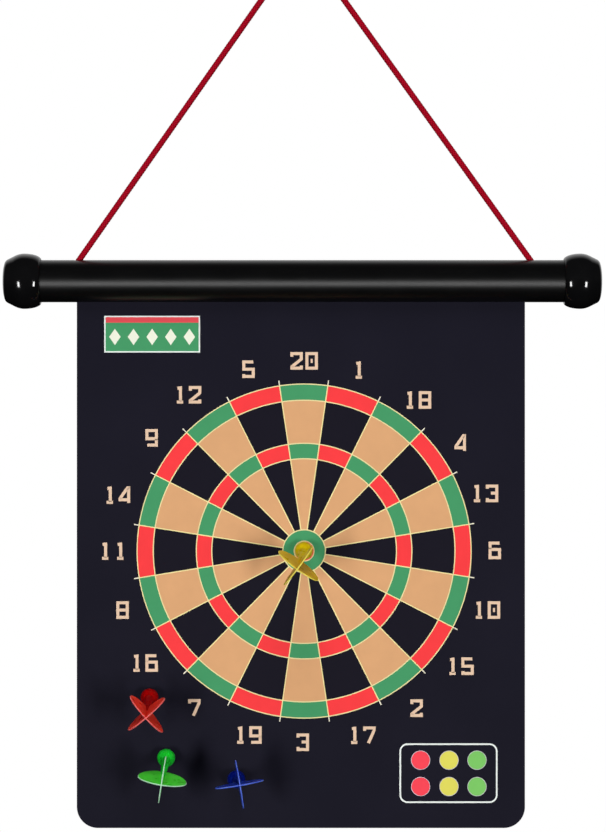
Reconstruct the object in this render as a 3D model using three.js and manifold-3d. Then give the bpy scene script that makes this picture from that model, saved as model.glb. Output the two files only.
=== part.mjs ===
// A roll-up magnetic dartboard: a flexible ferrous sheet that hangs from a black header tube, a red
// hanging cord, and four magnetic darts stuck to the sheet.
// Millimetres, +Z up. +X runs along the header tube and +Y points to the wall, so the printed face
// looks along -Y. The origin is the point where the bend of the cord bears on its hook.
import * as THREE from 'three';
import { mergeVertices } from 'three/addons/utils/BufferGeometryUtils.js';
import Module from 'manifold-3d';

const wasm = await Module();
wasm.setup();

// ---- Driving dimensions ----------------------------------------------------------------------

// Header tube: an extruded C section, its slot looking down.
const hookToTubeAxis = 266.5;
const tubeRadius = 17;
const tubeWall = 1.5;
const tubeLength = 455;
const slotWidth = 5;
const leftHoleX = -179.9;
const rightHoleX = 183.7;
const cordHoleRadius = 4.1;

// End caps: hollow bulbs pushed over the ends of the tube.
const overallLength = 481;
const capLength = 30.2;
const capSocketDepth = 17.5;
const capSocketRadius = tubeRadius + 0.3;
const capCavityRadius = 15;
const capEndWall = 3;
const capCavityChamfer = 3;

// Hanging cord and its stopper knots.
const cordDiameter = 4.8;
const cordBendInside = 3;
const cordBendPoints = 4;
const cordRunPoints = 8;
const cordEntryInset = 0.55;
const cordSides = 8;
const cordSteps = 78;
const knotRadius = 6.4;
const knotHeight = 8.6;
const knotTail = 3.6;
const knotDrop = 2.1;

// Sheet: printed film, ferrous core and back film, gripped in a slit rod inside the tube.
const sheetWidth = 360;
const sheetHeight = 429;
const sheetCornerRadius = 17;
const sheetShift = -1.2;
const filmThickness = 0.25;
const coreThickness = 0.75;
const rodRadius = 3.5;
const rodDrop = 11.5;
const rodSlitWidth = 1.4;
const rodSlitTop = 1.5;
const sheetAboveRod = 1.2;

// Darts. Lengths along a dart are counted from the tip of its magnet's dome.
const magnetRadius = 4;
const magnetLength = 4.6;
const domeRadius = 9;
const fitGap = 0.3;
const headRadius = 7.2;
const headCentre = 6.6;
const headLip = 1.6;
const neckRadius = 3.6;
const shaftEnd = 26;
const shaftEndRadius = 2.9;
const spigotRadius = 1.5;
const spigotEnd = 31;
const sleeveEnd = 44;
const sleeveEndRadius = 1.2;
const finThickness = 1;
const finHalfSpan = 19.4;
const finWidest = 51.5;
const finFront = 16;
const finRear = 10.5;

// Each dart's place on the sheet, from the sheet's centre line and its bottom edge, and how it
// stands: its tail droops down, leans to the right, and the cross of its flight is turned.
const darts = [
  { name: 'red', colour: 0xd01218, x: -121.3, height: 105, droop: 12, lean: -0.3, turn: 49 },
  { name: 'green', colour: 0x1fb52e, x: -108, height: 56.5, droop: 16.6, lean: -1.7, turn: 9.5 },
  { name: 'blue', colour: 0x1a2f9c, x: -51.5, height: 40, droop: -1.6, lean: 4.3, turn: -9.3 },
  { name: 'yellow', colour: 0xe0c81e, x: 2, height: 222.5, droop: 13, lean: -5.5, turn: 37 },
];

// ---- Derived places --------------------------------------------------------------------------

const tubeAxisZ = -hookToTubeAxis;
const tubeTopZ = tubeAxisZ + tubeRadius;
const rodZ = tubeAxisZ - rodDrop;
const sheetTopZ = rodZ + sheetAboveRod;
const sheetBottomZ = sheetTopZ - sheetHeight;
const sheetThickness = coreThickness + 2 * filmThickness;
const sheetFrontY = -sheetThickness / 2;

// The cord's centre line on one side, from the hook's crown round its bend and straight down to the
// hole, as [x, z]. The side is 1 for the right and -1 for the left.
function cordRun(side, holeX) {
  const radius = cordBendInside + cordDiameter / 2;
  const entry = [side * holeX - cordEntryInset, tubeTopZ];
  const down = entry[1] + cordBendInside;
  const leave = Math.atan2(down, entry[0]) + Math.acos(radius / Math.hypot(entry[0], down));
  const bend = Array.from({ length: cordBendPoints + 1 }, (_, i) => {
    const angle = Math.PI / 2 + (leave - Math.PI / 2) * i / cordBendPoints;
    return [radius * Math.cos(angle), radius * Math.sin(angle) - cordBendInside];
  });
  const last = bend[cordBendPoints];
  const straight = Array.from({ length: cordRunPoints }, (_, i) => {
    const share = (i + 1) / cordRunPoints;
    return [0, 1].map((axis) => last[axis] + (entry[axis] - last[axis]) * share);
  });
  return [...bend, ...straight].map(([x, z]) => [side * x, z]);
}

// ---- Shape helpers ---------------------------------------------------------------------------

// A geometry as a closed solid with shared corners and outward faces.
function solid(geometry) {
  const bare = geometry.clone();
  for (const name of Object.keys(bare.attributes)) {
    if (name !== 'position') bare.deleteAttribute(name);
  }
  const merged = mergeVertices(bare, 1e-4);
  const positions = merged.attributes.position;
  const corners = Array.from(merged.index.array);
  const kept = [];
  let volume = 0;
  const [a, b, c] = [new THREE.Vector3(), new THREE.Vector3(), new THREE.Vector3()];
  for (let i = 0; i < corners.length; i += 3) {
    const [p, q, r] = corners.slice(i, i + 3);
    if (p === q || q === r || r === p) continue;
    a.fromBufferAttribute(positions, p);
    b.fromBufferAttribute(positions, q);
    c.fromBufferAttribute(positions, r);
    volume += a.dot(b.cross(c));
    kept.push([p, q, r]);
  }
  const outward = volume > 0 ? kept : kept.map(([p, q, r]) => [p, r, q]);
  merged.setIndex(outward.flat());
  return merged;
}

function toManifold(geometry) {
  const closed = solid(geometry);
  return new wasm.Manifold(new wasm.Mesh({
    numProp: 3,
    vertProperties: new Float32Array(closed.attributes.position.array),
    triVerts: new Uint32Array(closed.index.array),
  }));
}

function fromManifold(manifold) {
  const mesh = manifold.getMesh();
  const geometry = new THREE.BufferGeometry();
  geometry.setAttribute('position', new THREE.BufferAttribute(mesh.vertProperties, 3));
  geometry.setIndex(new THREE.BufferAttribute(mesh.triVerts, 1));
  return geometry;
}

// Extrudes a section drawn in Y and Z along X, with its middle at X = 0.
function extrudeAlongX(section, length, curveSegments) {
  const geometry = new THREE.ExtrudeGeometry(section, { depth: length, bevelEnabled: false, curveSegments });
  geometry.translate(0, 0, -length / 2);
  const toYZX = new THREE.Matrix4().makeBasis(
    new THREE.Vector3(0, 1, 0), new THREE.Vector3(0, 0, 1), new THREE.Vector3(1, 0, 0));
  return geometry.applyMatrix4(toYZX);
}

function lathe(points, segments) {
  return new THREE.LatheGeometry(points.map(([r, along]) => new THREE.Vector2(r, along)), segments);
}

// Points on an arc in a lathe profile, from one angle to another, both ends included.
function arc(radius, centre, fromDegrees, toDegrees, steps) {
  return Array.from({ length: steps + 1 }, (_, i) => {
    const angle = THREE.MathUtils.degToRad(fromDegrees + (toDegrees - fromDegrees) * i / steps);
    return [radius * Math.cos(angle), centre + radius * Math.sin(angle)];
  });
}

function piece(name, geometry, material) {
  const mesh = new THREE.Mesh(solid(geometry), material);
  mesh.name = name;
  return mesh;
}

function plastic(colour, roughness) {
  return new THREE.MeshStandardMaterial({ color: colour, roughness, metalness: 0 });
}

// ---- Header tube -----------------------------------------------------------------------------

// A circle's outline with a slot cut out of its bottom, from one lip of the slot round to the other.
function slottedArc(path, radius, halfSlot, clockwise) {
  const lip = Math.asin(halfSlot / radius);
  const rightLip = -Math.PI / 2 + lip;
  const leftLip = 3 * Math.PI / 2 - lip;
  if (clockwise) path.absarc(0, 0, radius, leftLip, rightLip, true);
  else path.absarc(0, 0, radius, rightLip, leftLip, false);
}

function headerTube() {
  const section = new THREE.Shape();
  slottedArc(section, tubeRadius, slotWidth / 2, false);
  slottedArc(section, tubeRadius - tubeWall, slotWidth / 2, true);
  section.closePath();
  let tube = toManifold(extrudeAlongX(section, tubeLength, 44));
  for (const holeX of [leftHoleX, rightHoleX]) {
    const drill = new THREE.CylinderGeometry(cordHoleRadius, cordHoleRadius, 6 * tubeWall, 24);
    drill.rotateX(Math.PI / 2);
    drill.translate(holeX, 0, tubeRadius);
    tube = tube.subtract(toManifold(drill));
  }
  const mesh = piece('header_tube', fromManifold(tube), plastic(0x111112, 0.35));
  mesh.position.z = tubeAxisZ;
  return mesh;
}

// ---- End caps --------------------------------------------------------------------------------

// The bulb's profile as [radius, distance in from its outer end]: a low dome, an edge, the swell of
// the bulb and a rounded lip, then back inside along the socket, its shoulder and the cavity.
function capProfile() {
  const outside = [
    [0, 0], [8, 0.3], [13.4, 1.1], [16, 2.0], [16.8, 2.8], [18.2, 5.2], [19.5, 7.8], [20.8, 10.4],
    [21.7, 13], [22.2, 16], [22.2, 18.5], [21.9, 22], [21.2, 25.4], [20.2, 28], [19.2, 29.6], [18.6, capLength],
  ];
  const inside = [
    [capSocketRadius, capLength],
    [capSocketRadius, capLength - capSocketDepth],
    [capCavityRadius, capLength - capSocketDepth],
    [capCavityRadius, capEndWall + capCavityChamfer],
    [capCavityRadius - capCavityChamfer, capEndWall],
    [0, capEndWall],
  ];
  return [...outside, ...inside].map(([radius, inward]) => [radius, -inward]);
}

function endCap(name, side) {
  const mesh = piece(name, lathe(capProfile(), 40), plastic(0x0a0a0b, 0.12));
  mesh.rotation.z = -side * Math.PI / 2;
  mesh.position.set(side * overallLength / 2, 0, tubeAxisZ);
  return mesh;
}

// ---- Hanging cord ----------------------------------------------------------------------------

function hangingCord() {
  const line = [...cordRun(-1, leftHoleX).slice(1).reverse(), ...cordRun(1, rightHoleX)];
  const route = new THREE.CatmullRomCurve3(line.map(([x, z]) => new THREE.Vector3(x, 0, z)), false, 'centripetal');
  const corners = Array.from({ length: cordSides }, (_, i) => {
    const angle = 2 * Math.PI * (i + 0.5) / cordSides;
    return new THREE.Vector2(Math.cos(angle), Math.sin(angle)).multiplyScalar(cordDiameter / 2);
  });
  const cord = new THREE.ExtrudeGeometry(new THREE.Shape(corners), { steps: cordSteps, extrudePath: route });
  return piece('hanging_cord', cord, plastic(0xa0223a, 0.8));
}

// A stopper knot with a short tail, under the cord hole inside the tube.
function cordKnot(name, holeX) {
  const middle = -knotHeight / 2;
  const barrel = arc(1, 0, 70, -70, 8).map(([r, along]) => [r * knotRadius, middle + along * knotHeight / 2]);
  const knotBottom = barrel[barrel.length - 1][1];
  const tailRadius = cordDiameter / 2;
  const profile = [[0, barrel[0][1]], ...barrel, [tailRadius, knotBottom],
    [tailRadius, knotBottom - knotTail], [0, knotBottom - knotTail]];
  const mesh = piece(name, lathe(profile, 16), plastic(0x8f1e34, 0.8));
  mesh.rotation.x = Math.PI / 2;
  mesh.position.set(holeX, 0, tubeTopZ - knotDrop);
  return mesh;
}

// ---- Sheet -----------------------------------------------------------------------------------

// The rod that holds the sheet in the tube, wider than the slot, with a slit for the sheet's edge.
function sheetRod() {
  const section = new THREE.Shape();
  slottedArc(section, rodRadius, rodSlitWidth / 2, false);
  section.lineTo(-rodSlitWidth / 2, rodSlitTop);
  section.lineTo(rodSlitWidth / 2, rodSlitTop);
  section.closePath();
  const mesh = piece('sheet_rod', extrudeAlongX(section, sheetWidth, 20), plastic(0x3a3a3c, 0.6));
  mesh.position.set(sheetShift, 0, rodZ);
  return mesh;
}

// One layer of the sheet, from its back plane forwards: square at the top, rounded at the bottom.
function sheetLayer(name, backY, thickness, material) {
  const [half, r, bottom, top] = [sheetWidth / 2, sheetCornerRadius, sheetBottomZ, sheetTopZ];
  const outline = new THREE.Shape();
  outline.moveTo(half, top);
  outline.lineTo(-half, top);
  outline.absarc(-half + r, bottom + r, r, Math.PI, 3 * Math.PI / 2, false);
  outline.absarc(half - r, bottom + r, r, 3 * Math.PI / 2, 2 * Math.PI, false);
  outline.closePath();
  const layer = new THREE.ExtrudeGeometry(outline, { depth: thickness, bevelEnabled: false, curveSegments: 10 });
  const forwards = new THREE.Matrix4().makeBasis(
    new THREE.Vector3(1, 0, 0), new THREE.Vector3(0, 0, 1), new THREE.Vector3(0, -1, 0));
  layer.applyMatrix4(forwards).translate(sheetShift, backY, 0);
  return piece(name, layer, material);
}

function sheetLayers() {
  const coreBackY = coreThickness / 2;
  return [
    sheetLayer('sheet_back_film', coreBackY + filmThickness, filmThickness, plastic(0x1a1a1c, 0.8)),
    sheetLayer('sheet_ferrous_core', coreBackY, coreThickness, plastic(0x2a2522, 0.9)),
    sheetLayer('sheet_print_film', -coreBackY, filmThickness, plastic(0x1f1d27, 0.7)),
  ];
}

// ---- Darts -----------------------------------------------------------------------------------

// A turned profile along a dart, given as [radius, length from the tip]; the tail points to -Y.
function turned(profile, segments) {
  return lathe(profile.map(([radius, along]) => [radius, domeRadius - along]), segments);
}

function dartMagnet(name) {
  const edge = THREE.MathUtils.radToDeg(Math.acos(magnetRadius / domeRadius));
  const dome = arc(domeRadius, domeRadius, -90, -edge, 4);
  const profile = [[0, 0], ...dome.slice(1), [magnetRadius, magnetLength], [0, magnetLength]];
  return piece(name, turned(profile, 20), new THREE.MeshStandardMaterial({ color: 0x3b3b3e, roughness: 0.4, metalness: 0.8 }));
}

// The ball-shaped head with the magnet's socket, the tapered shaft and the flight's spigot.
function dartBody(name, material) {
  const socketRadius = magnetRadius + fitGap;
  const socketEnd = magnetLength + fitGap;
  const lipAngle = THREE.MathUtils.radToDeg(Math.asin((headLip - headCentre) / headRadius));
  const neckAngle = THREE.MathUtils.radToDeg(Math.acos(neckRadius / headRadius));
  const profile = [
    [0, socketEnd], [socketRadius, socketEnd], [socketRadius, headLip],
    ...arc(headRadius, headCentre, lipAngle, neckAngle, 9),
    [shaftEndRadius, shaftEnd], [spigotRadius, shaftEnd], [spigotRadius, spigotEnd], [0, spigotEnd],
  ];
  return piece(name, turned(profile, 24), material);
}

// Four fins, two crossed leaf-shaped plates in all, on a tapered sleeve that fits the spigot. The
// leaf is widest near the tail.
function dartFlight(name, material) {
  const leaf = new THREE.Shape();
  leaf.absellipse(0, 0, finHalfSpan, finFront, 0, Math.PI, false, 0);
  leaf.absellipse(0, 0, finHalfSpan, finRear, Math.PI, 2 * Math.PI, false, 0);
  const across = new THREE.ExtrudeGeometry(leaf, { depth: finThickness, bevelEnabled: false, curveSegments: 12 });
  across.translate(0, domeRadius - finWidest, -finThickness / 2);
  const upright = across.clone().rotateY(Math.PI / 2);
  const sleeve = turned([[0, shaftEnd + fitGap], [shaftEndRadius, shaftEnd + fitGap],
    [sleeveEndRadius, sleeveEnd], [0, sleeveEnd]], 20);
  const boreRadius = spigotRadius + fitGap;
  const bore = turned([[0, shaftEnd - fitGap], [boreRadius, shaftEnd - fitGap],
    [boreRadius, spigotEnd + fitGap], [0, spigotEnd + fitGap]], 16);
  const flight = toManifold(across).add(toManifold(upright)).add(toManifold(sleeve)).subtract(toManifold(bore));
  return piece(name, fromManifold(flight), material);
}

// A dart stands on the dome of its magnet and turns about the dome's centre.
function dart({ name, colour, x, height, droop, lean, turn }) {
  const material = plastic(colour, 0.25);
  const group = new THREE.Group();
  group.add(dartMagnet(`${name}_dart_magnet`));
  group.add(dartBody(`${name}_dart_body`, material));
  group.add(dartFlight(`${name}_dart_flight`, material));
  const [droopTurn, leanTurn, ownTurn] = [droop, lean, turn].map(THREE.MathUtils.degToRad);
  group.rotation.set(droopTurn, ownTurn, leanTurn, 'ZXY');
  group.position.set(sheetShift + x, sheetFrontY - fitGap - domeRadius, sheetBottomZ + height);
  return group;
}

// ---- Assembly --------------------------------------------------------------------------------

const dartboard = new THREE.Group();
dartboard.add(headerTube());
dartboard.add(endCap('left_end_cap', -1), endCap('right_end_cap', 1));
dartboard.add(hangingCord());
dartboard.add(cordKnot('left_cord_knot', leftHoleX), cordKnot('right_cord_knot', rightHoleX));
dartboard.add(sheetRod(), ...sheetLayers());
for (const place of darts) dartboard.add(dart(place));

export default dartboard;
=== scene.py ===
import math

import bmesh
import bpy
import numpy as np
from mathutils import Matrix, Vector


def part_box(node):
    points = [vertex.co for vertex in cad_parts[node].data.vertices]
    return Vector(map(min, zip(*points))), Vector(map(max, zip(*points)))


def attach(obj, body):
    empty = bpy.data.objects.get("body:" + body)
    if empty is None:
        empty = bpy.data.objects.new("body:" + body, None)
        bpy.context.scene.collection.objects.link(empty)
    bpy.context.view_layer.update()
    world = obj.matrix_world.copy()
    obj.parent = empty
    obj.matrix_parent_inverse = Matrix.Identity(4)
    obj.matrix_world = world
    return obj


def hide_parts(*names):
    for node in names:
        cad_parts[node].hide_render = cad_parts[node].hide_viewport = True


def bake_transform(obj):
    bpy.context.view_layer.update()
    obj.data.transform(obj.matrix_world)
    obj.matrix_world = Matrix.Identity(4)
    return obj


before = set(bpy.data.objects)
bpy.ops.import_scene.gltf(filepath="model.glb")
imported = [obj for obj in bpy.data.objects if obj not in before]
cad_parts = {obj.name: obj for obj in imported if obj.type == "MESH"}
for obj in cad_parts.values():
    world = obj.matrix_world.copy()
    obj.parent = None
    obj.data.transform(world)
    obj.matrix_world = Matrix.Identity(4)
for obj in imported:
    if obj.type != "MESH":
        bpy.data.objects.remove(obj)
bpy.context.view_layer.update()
MM = 0.001

# ---- Header tube --------------------------------------------------------------------------------
# The tube the board hangs from: black rigid plastic, extruded with a slot along its underside,
# then cut to length and drilled twice on top for the cord. Its skin is satin, with faint draw lines.

tube_low, tube_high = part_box("header_tube")
tube_radius = (tube_high.y - tube_low.y) / 2
tube_half_length = (tube_high.x - tube_low.x) / 2
tube_axis_z = tube_high.z - tube_radius
tube_wall = 1.5 * MM
tube_slot_width = 5 * MM
tube_ring_spacing = 5 * MM
left_knot, right_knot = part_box("left_cord_knot"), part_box("right_cord_knot")
left_hole_x, right_hole_x = ((low.x + high.x) / 2 for low, high in (left_knot, right_knot))
cord_hole_radius = 4.1 * MM


def sheen_of(name, colour, roughness):
    """A new material with its node tree and its shader, one colour and one roughness to start from."""
    material = bpy.data.materials.new(name)
    material.use_nodes = True
    shader = material.node_tree.nodes["Principled BSDF"]
    shader.inputs["Base Color"].default_value = (*colour, 1)
    shader.inputs["Roughness"].default_value = roughness
    return material, material.node_tree, shader


def mottle(tree, scale, detail=3, stretch=(1, 1, 1)):
    """Random mottling that stays fixed to the piece. Scale is in blobs per metre."""
    place = tree.nodes.new("ShaderNodeTexCoord")
    stretching = tree.nodes.new("ShaderNodeMapping")
    stretching.inputs["Scale"].default_value = stretch
    texture = tree.nodes.new("ShaderNodeTexNoise")
    texture.inputs["Scale"].default_value = scale
    texture.inputs["Detail"].default_value = detail
    tree.links.new(place.outputs["Object"], stretching.inputs["Vector"])
    tree.links.new(stretching.outputs["Vector"], texture.inputs["Vector"])
    return texture.outputs["Fac"]


def between(tree, amount, low, high, start=0.3, stop=0.7):
    """Spreads an amount that runs from start to stop over the numbers from low to high."""
    spread = tree.nodes.new("ShaderNodeMapRange")
    spread.inputs["From Min"].default_value = start
    spread.inputs["From Max"].default_value = stop
    spread.inputs["To Min"].default_value = low
    spread.inputs["To Max"].default_value = high
    tree.links.new(amount, spread.inputs["Value"])
    return spread.outputs["Result"]


def tint(tree, amount, dark, light):
    """A colour between dark and light."""
    mix = tree.nodes.new("ShaderNodeMix")
    mix.data_type = "RGBA"
    mix.inputs[6].default_value = (*dark, 1)
    mix.inputs[7].default_value = (*light, 1)
    tree.links.new(amount, mix.inputs["Factor"])
    return mix.outputs[2]


def emboss(tree, shader, height, depth):
    """Small relief on the surface, depth in metres."""
    relief = tree.nodes.new("ShaderNodeBump")
    relief.inputs["Distance"].default_value = depth
    tree.links.new(height, relief.inputs["Height"])
    tree.links.new(relief.outputs["Normal"], shader.inputs["Normal"])


def new_piece(name, points, faces, *materials):
    """A mesh piece at rest in the row frame, smooth apart from its sharp edges."""
    mesh = bpy.data.meshes.new(name)
    mesh.from_pydata([tuple(p) for p in points], [], faces)
    for material in materials:
        mesh.materials.append(material)
    clean = bmesh.new()
    clean.from_mesh(mesh)
    bmesh.ops.recalc_face_normals(clean, faces=clean.faces)
    clean.to_mesh(mesh)
    clean.free()
    mesh.shade_smooth()
    mesh.set_sharp_from_angle(angle=math.radians(35))
    piece = bpy.data.objects.new(name, mesh)
    bpy.context.scene.collection.objects.link(piece)
    return piece


def fit(piece, body, slot, *nodes):
    """The piece rides on its body and takes the place of its plain CAD nodes. The slot is not used."""
    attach(piece, body)
    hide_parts(*nodes)
    return piece


def combine(piece, tool, operation):
    """Joins a tool shape to the piece, or cuts it away, and leaves nothing of the tool."""
    cut = piece.modifiers.new("cut", "BOOLEAN")
    cut.object = tool
    cut.operation = operation
    cut.solver = "EXACT"
    result = bpy.data.meshes.new_from_object(piece.evaluated_get(bpy.context.evaluated_depsgraph_get()))
    piece.modifiers.clear()
    old, tool_mesh = piece.data, tool.data
    piece.data = result
    result.shade_smooth()
    result.set_sharp_from_angle(angle=math.radians(35))
    bpy.data.objects.remove(tool)
    bpy.data.meshes.remove(tool_mesh)
    bpy.data.meshes.remove(old)


def split_ring(radius, slot, steps):
    """The (y, z) points of a circle with a slot left open at its bottom, from one lip to the other."""
    lip = math.asin(slot / 2 / radius)
    turn = (2 * math.pi - 2 * lip) / steps
    angles = [-math.pi / 2 + lip + turn * i for i in range(steps + 1)]
    return [(radius * math.cos(a), radius * math.sin(a)) for a in angles]


def slotted_bar(outer, inner, half_length, axis_z, spacing):
    """Points and faces of a slotted section, outer line and inner line, drawn out along X."""
    section = outer + inner[::-1]
    rings = max(2, round(2 * half_length / spacing) + 1)
    points = [
        (-half_length + 2 * half_length * r / (rings - 1), y, axis_z + z)
        for r in range(rings) for y, z in section
    ]
    size, wide = len(section), len(outer)
    faces = [
        (r * size + i, r * size + (i + 1) % size, (r + 1) * size + (i + 1) % size, (r + 1) * size + i)
        for r in range(rings - 1) for i in range(size)
    ]
    for base in (0, (rings - 1) * size):
        faces += [
            (base + i, base + i + 1, base + size - 2 - i, base + size - 1 - i) for i in range(wide - 1)
        ]
    return points, faces


def satin_black():
    material, tree, shader = sheen_of("satin_black_plastic", (0.0025, 0.0025, 0.0026), 0.4)
    handling = mottle(tree, 45, 5)
    tree.links.new(between(tree, handling, 0.41, 0.47), shader.inputs["Roughness"])
    tree.links.new(tint(tree, handling, (0.0018, 0.0018, 0.002), (0.0032, 0.0032, 0.0034)),
                   shader.inputs["Base Color"])
    around = tree.nodes.new("ShaderNodeTangent")
    around.direction_type, around.axis = "RADIAL", "X"
    tree.links.new(around.outputs["Tangent"], shader.inputs["Tangent"])
    shader.inputs["Anisotropic"].default_value = 0.8
    shader.inputs["Anisotropic Rotation"].default_value = 0.25
    emboss(tree, shader, mottle(tree, 1, 3, (5, 900, 900)), 0.006 * MM)
    return material


def drill(x):
    """A round bar that stands through the top wall of the tube."""
    steps = 48
    ends = [tube_axis_z + tube_radius - 3 * tube_wall, tube_axis_z + tube_radius + 3 * tube_wall]
    turns = [2 * math.pi * i / steps for i in range(steps)]
    points = [
        (x + cord_hole_radius * math.cos(a), cord_hole_radius * math.sin(a), z) for z in ends for a in turns
    ]
    faces = [(i, (i + 1) % steps, steps + (i + 1) % steps, steps + i) for i in range(steps)]
    faces += [tuple(range(steps)), tuple(range(steps, 2 * steps))]
    return new_piece("drill", points, faces)


tube_steps = 160
header_tube = new_piece("header_tube_shell", *slotted_bar(
    split_ring(tube_radius, tube_slot_width, tube_steps),
    split_ring(tube_radius - tube_wall, tube_slot_width, tube_steps),
    tube_half_length, tube_axis_z, tube_ring_spacing), satin_black())
for hole_x in (left_hole_x, right_hole_x):
    combine(header_tube, drill(hole_x), "DIFFERENCE")
fit(header_tube, "tube", "tube_plastic", "header_tube")

# ---- End caps -----------------------------------------------------------------------------------
# Two hollow bulbs, moulded in gloss black plastic, pushed over the ends of the tube. Each has a low
# domed end, a soft edge, a full belly and a rolled lip; the tube sits in its socket on a shoulder.

cap_low, cap_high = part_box("right_end_cap")
cap_length = cap_high.x - cap_low.x
cap_socket_radius = tube_radius + 0.3 * MM
cap_socket_depth = 17.5 * MM
cap_cavity_radius = 15 * MM
cap_end_wall = 3 * MM
# The outside of the bulb as (radius, distance in from the outer end), in millimetres.
cap_outline = [
    (0, 0), (8, 0.3), (13.4, 1.1), (15.9, 2.0), (16.9, 2.9), (18.2, 5.2), (19.5, 7.8), (20.8, 10.4),
    (21.7, 13), (22.2, 16), (22.2, 18.5), (21.9, 22), (21.2, 25.4), (20.2, 28), (19.2, 29.6), (18.6, 30.2),
]


def smooth_line(points, steps):
    """A smooth line through the points, with some steps between each two, by chord lengths."""
    marks = [Vector(p) for p in points]
    gaps = [(b - a).length for a, b in zip(marks, marks[1:])]
    slopes = [(b - a) / gap for a, b, gap in zip(marks, marks[1:], gaps)]
    pulls = [slopes[0]] + [
        (slopes[i] * gaps[i + 1] + slopes[i + 1] * gaps[i]) / (gaps[i] + gaps[i + 1])
        for i in range(len(gaps) - 1)
    ] + [slopes[-1]]
    line = []
    for i, gap in enumerate(gaps):
        for s in range(steps):
            t = s / steps
            line.append(
                marks[i] * (1 + 2 * t) * (1 - t) ** 2 + pulls[i] * gap * t * (1 - t) ** 2
                + marks[i + 1] * t * t * (3 - 2 * t) - pulls[i + 1] * gap * t * t * (1 - t)
            )
    return line + [marks[-1]]


def turned(profile, steps):
    """Points and faces of a profile of (radius, along) turned about the Y axis. Ends on the axis close."""
    points, rows = [], []
    for radius, along in profile:
        if radius < 1e-7:
            rows.append([len(points)] * steps)
            points.append(Vector((0, along, 0)))
            continue
        rows.append([len(points) + i for i in range(steps)])
        turns = [2 * math.pi * i / steps for i in range(steps)]
        points += [Vector((radius * math.cos(a), along, radius * math.sin(a))) for a in turns]
    faces = []
    for a, b in zip(rows, rows[1:]):
        for i in range(steps):
            corners = dict.fromkeys((a[i], a[(i + 1) % steps], b[(i + 1) % steps], b[i]))
            if len(corners) > 2:
                faces.append(tuple(corners))
    return points, faces


def gloss_black():
    material, tree, shader = sheen_of("gloss_black_plastic", (0.0035, 0.0035, 0.0038), 0.1)
    handling = mottle(tree, 90, 5)
    tree.links.new(between(tree, handling, 0.06, 0.16), shader.inputs["Roughness"])
    tree.links.new(tint(tree, handling, (0.003, 0.003, 0.0032), (0.0045, 0.0045, 0.005)),
                   shader.inputs["Base Color"])
    emboss(tree, shader, mottle(tree, 160, 2), 0.01 * MM)
    return material


def cap_profile():
    """The bulb's outside, then back in along the socket, its shoulder and the end wall."""
    outside = [(p.x, p.y) for p in smooth_line([(r * MM, x * MM) for r, x in cap_outline], 4)]
    shoulder = cap_length - cap_socket_depth
    inside = [
        (cap_socket_radius + 0.4 * MM, cap_length),
        (cap_socket_radius, cap_length - 0.4 * MM),
        (cap_socket_radius, shoulder),
        (cap_cavity_radius, shoulder),
        (cap_cavity_radius, cap_end_wall + 3 * MM),
        (cap_cavity_radius - 3 * MM, cap_end_wall),
        (0, cap_end_wall),
    ]
    return [(radius, -inward) for radius, inward in outside + inside]


cap_finish = gloss_black()
cap_points, cap_faces = turned(cap_profile(), 128)
for side, word in ((-1, "left"), (1, "right")):
    outward = Matrix.Translation((side * cap_high.x, 0, tube_axis_z)) @ Matrix.Rotation(
        -side * math.pi / 2, 4, "Z")
    cap = new_piece(f"{word}_end_cap_bulb", [outward @ p for p in cap_points], cap_faces, cap_finish)
    fit(cap, f"{word}_cap", "cap_plastic", f"{word}_end_cap")

# ---- Hanging cord -------------------------------------------------------------------------------
# One length of red polyester cord, braided from twelve strands, about 5 mm thick. It comes up out of
# the left hole, bends over the hook and goes down into the right hole, pulled tight by the board.

cord_diameter = 4.8 * MM
cord_bend_inside = 3 * MM
cord_entry_inset = 0.55 * MM
cord_end_inside = 3 * MM
cord_ring_spacing = 0.4 * MM
cord_sides = 42
cord_bend_steps = 16
strands_each_way = 6
braid_pitch = 15 * MM
strand_bulge = 0.28 * MM
strand_weave = 0.12 * MM
strand_mean_height = 0.27 * MM


def cord_run(side, hole_x):
    """The cord's line on one side, from the hook's crown round its bend and straight into the hole."""
    radius = cord_bend_inside + cord_diameter / 2
    entry = Vector((side * hole_x - cord_entry_inset, 0, tube_high.z))
    down = entry.z + cord_bend_inside
    leave = math.atan2(down, entry.x) + math.acos(radius / math.hypot(entry.x, down))
    bends = [math.pi / 2 + (leave - math.pi / 2) * i / cord_bend_steps for i in range(cord_bend_steps + 1)]
    line = [Vector((radius * math.cos(a), 0, radius * math.sin(a) - cord_bend_inside)) for a in bends]
    line.append(entry + (entry - line[-1]).normalized() * cord_end_inside)
    return [Vector((side * p.x, 0, p.z)) for p in line]


def evenly(line, spacing):
    """The same line with points at an even spacing, and the length up to each."""
    line = np.array([tuple(p) for p in line])
    run = np.concatenate([[0], np.cumsum(np.linalg.norm(np.diff(line, axis=0), axis=1))])
    marks = np.linspace(0, run[-1], round(run[-1] / spacing) + 1)
    return np.stack([np.interp(marks, run, line[:, i]) for i in range(3)], axis=1), marks


def braid_height(turn, run):
    """How far the braid stands out at an angle round the cord and a length along it."""
    twist = 2 * np.pi * run / braid_pitch
    u = strands_each_way * (turn - twist) / (2 * np.pi)
    v = strands_each_way * (turn + twist) / (2 * np.pi)
    over_u = strand_weave * np.sin(np.pi * v) * np.where(np.floor(u) % 2 == 0, 1, -1)
    over_v = -strand_weave * np.sin(np.pi * u) * np.where(np.floor(v) % 2 == 0, 1, -1)
    round_u = strand_bulge * (1 - (2 * (u % 1) - 1) ** 2)
    round_v = strand_bulge * (1 - (2 * (v % 1) - 1) ** 2)
    return np.maximum(round_u + over_u, round_v + over_v)


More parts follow.
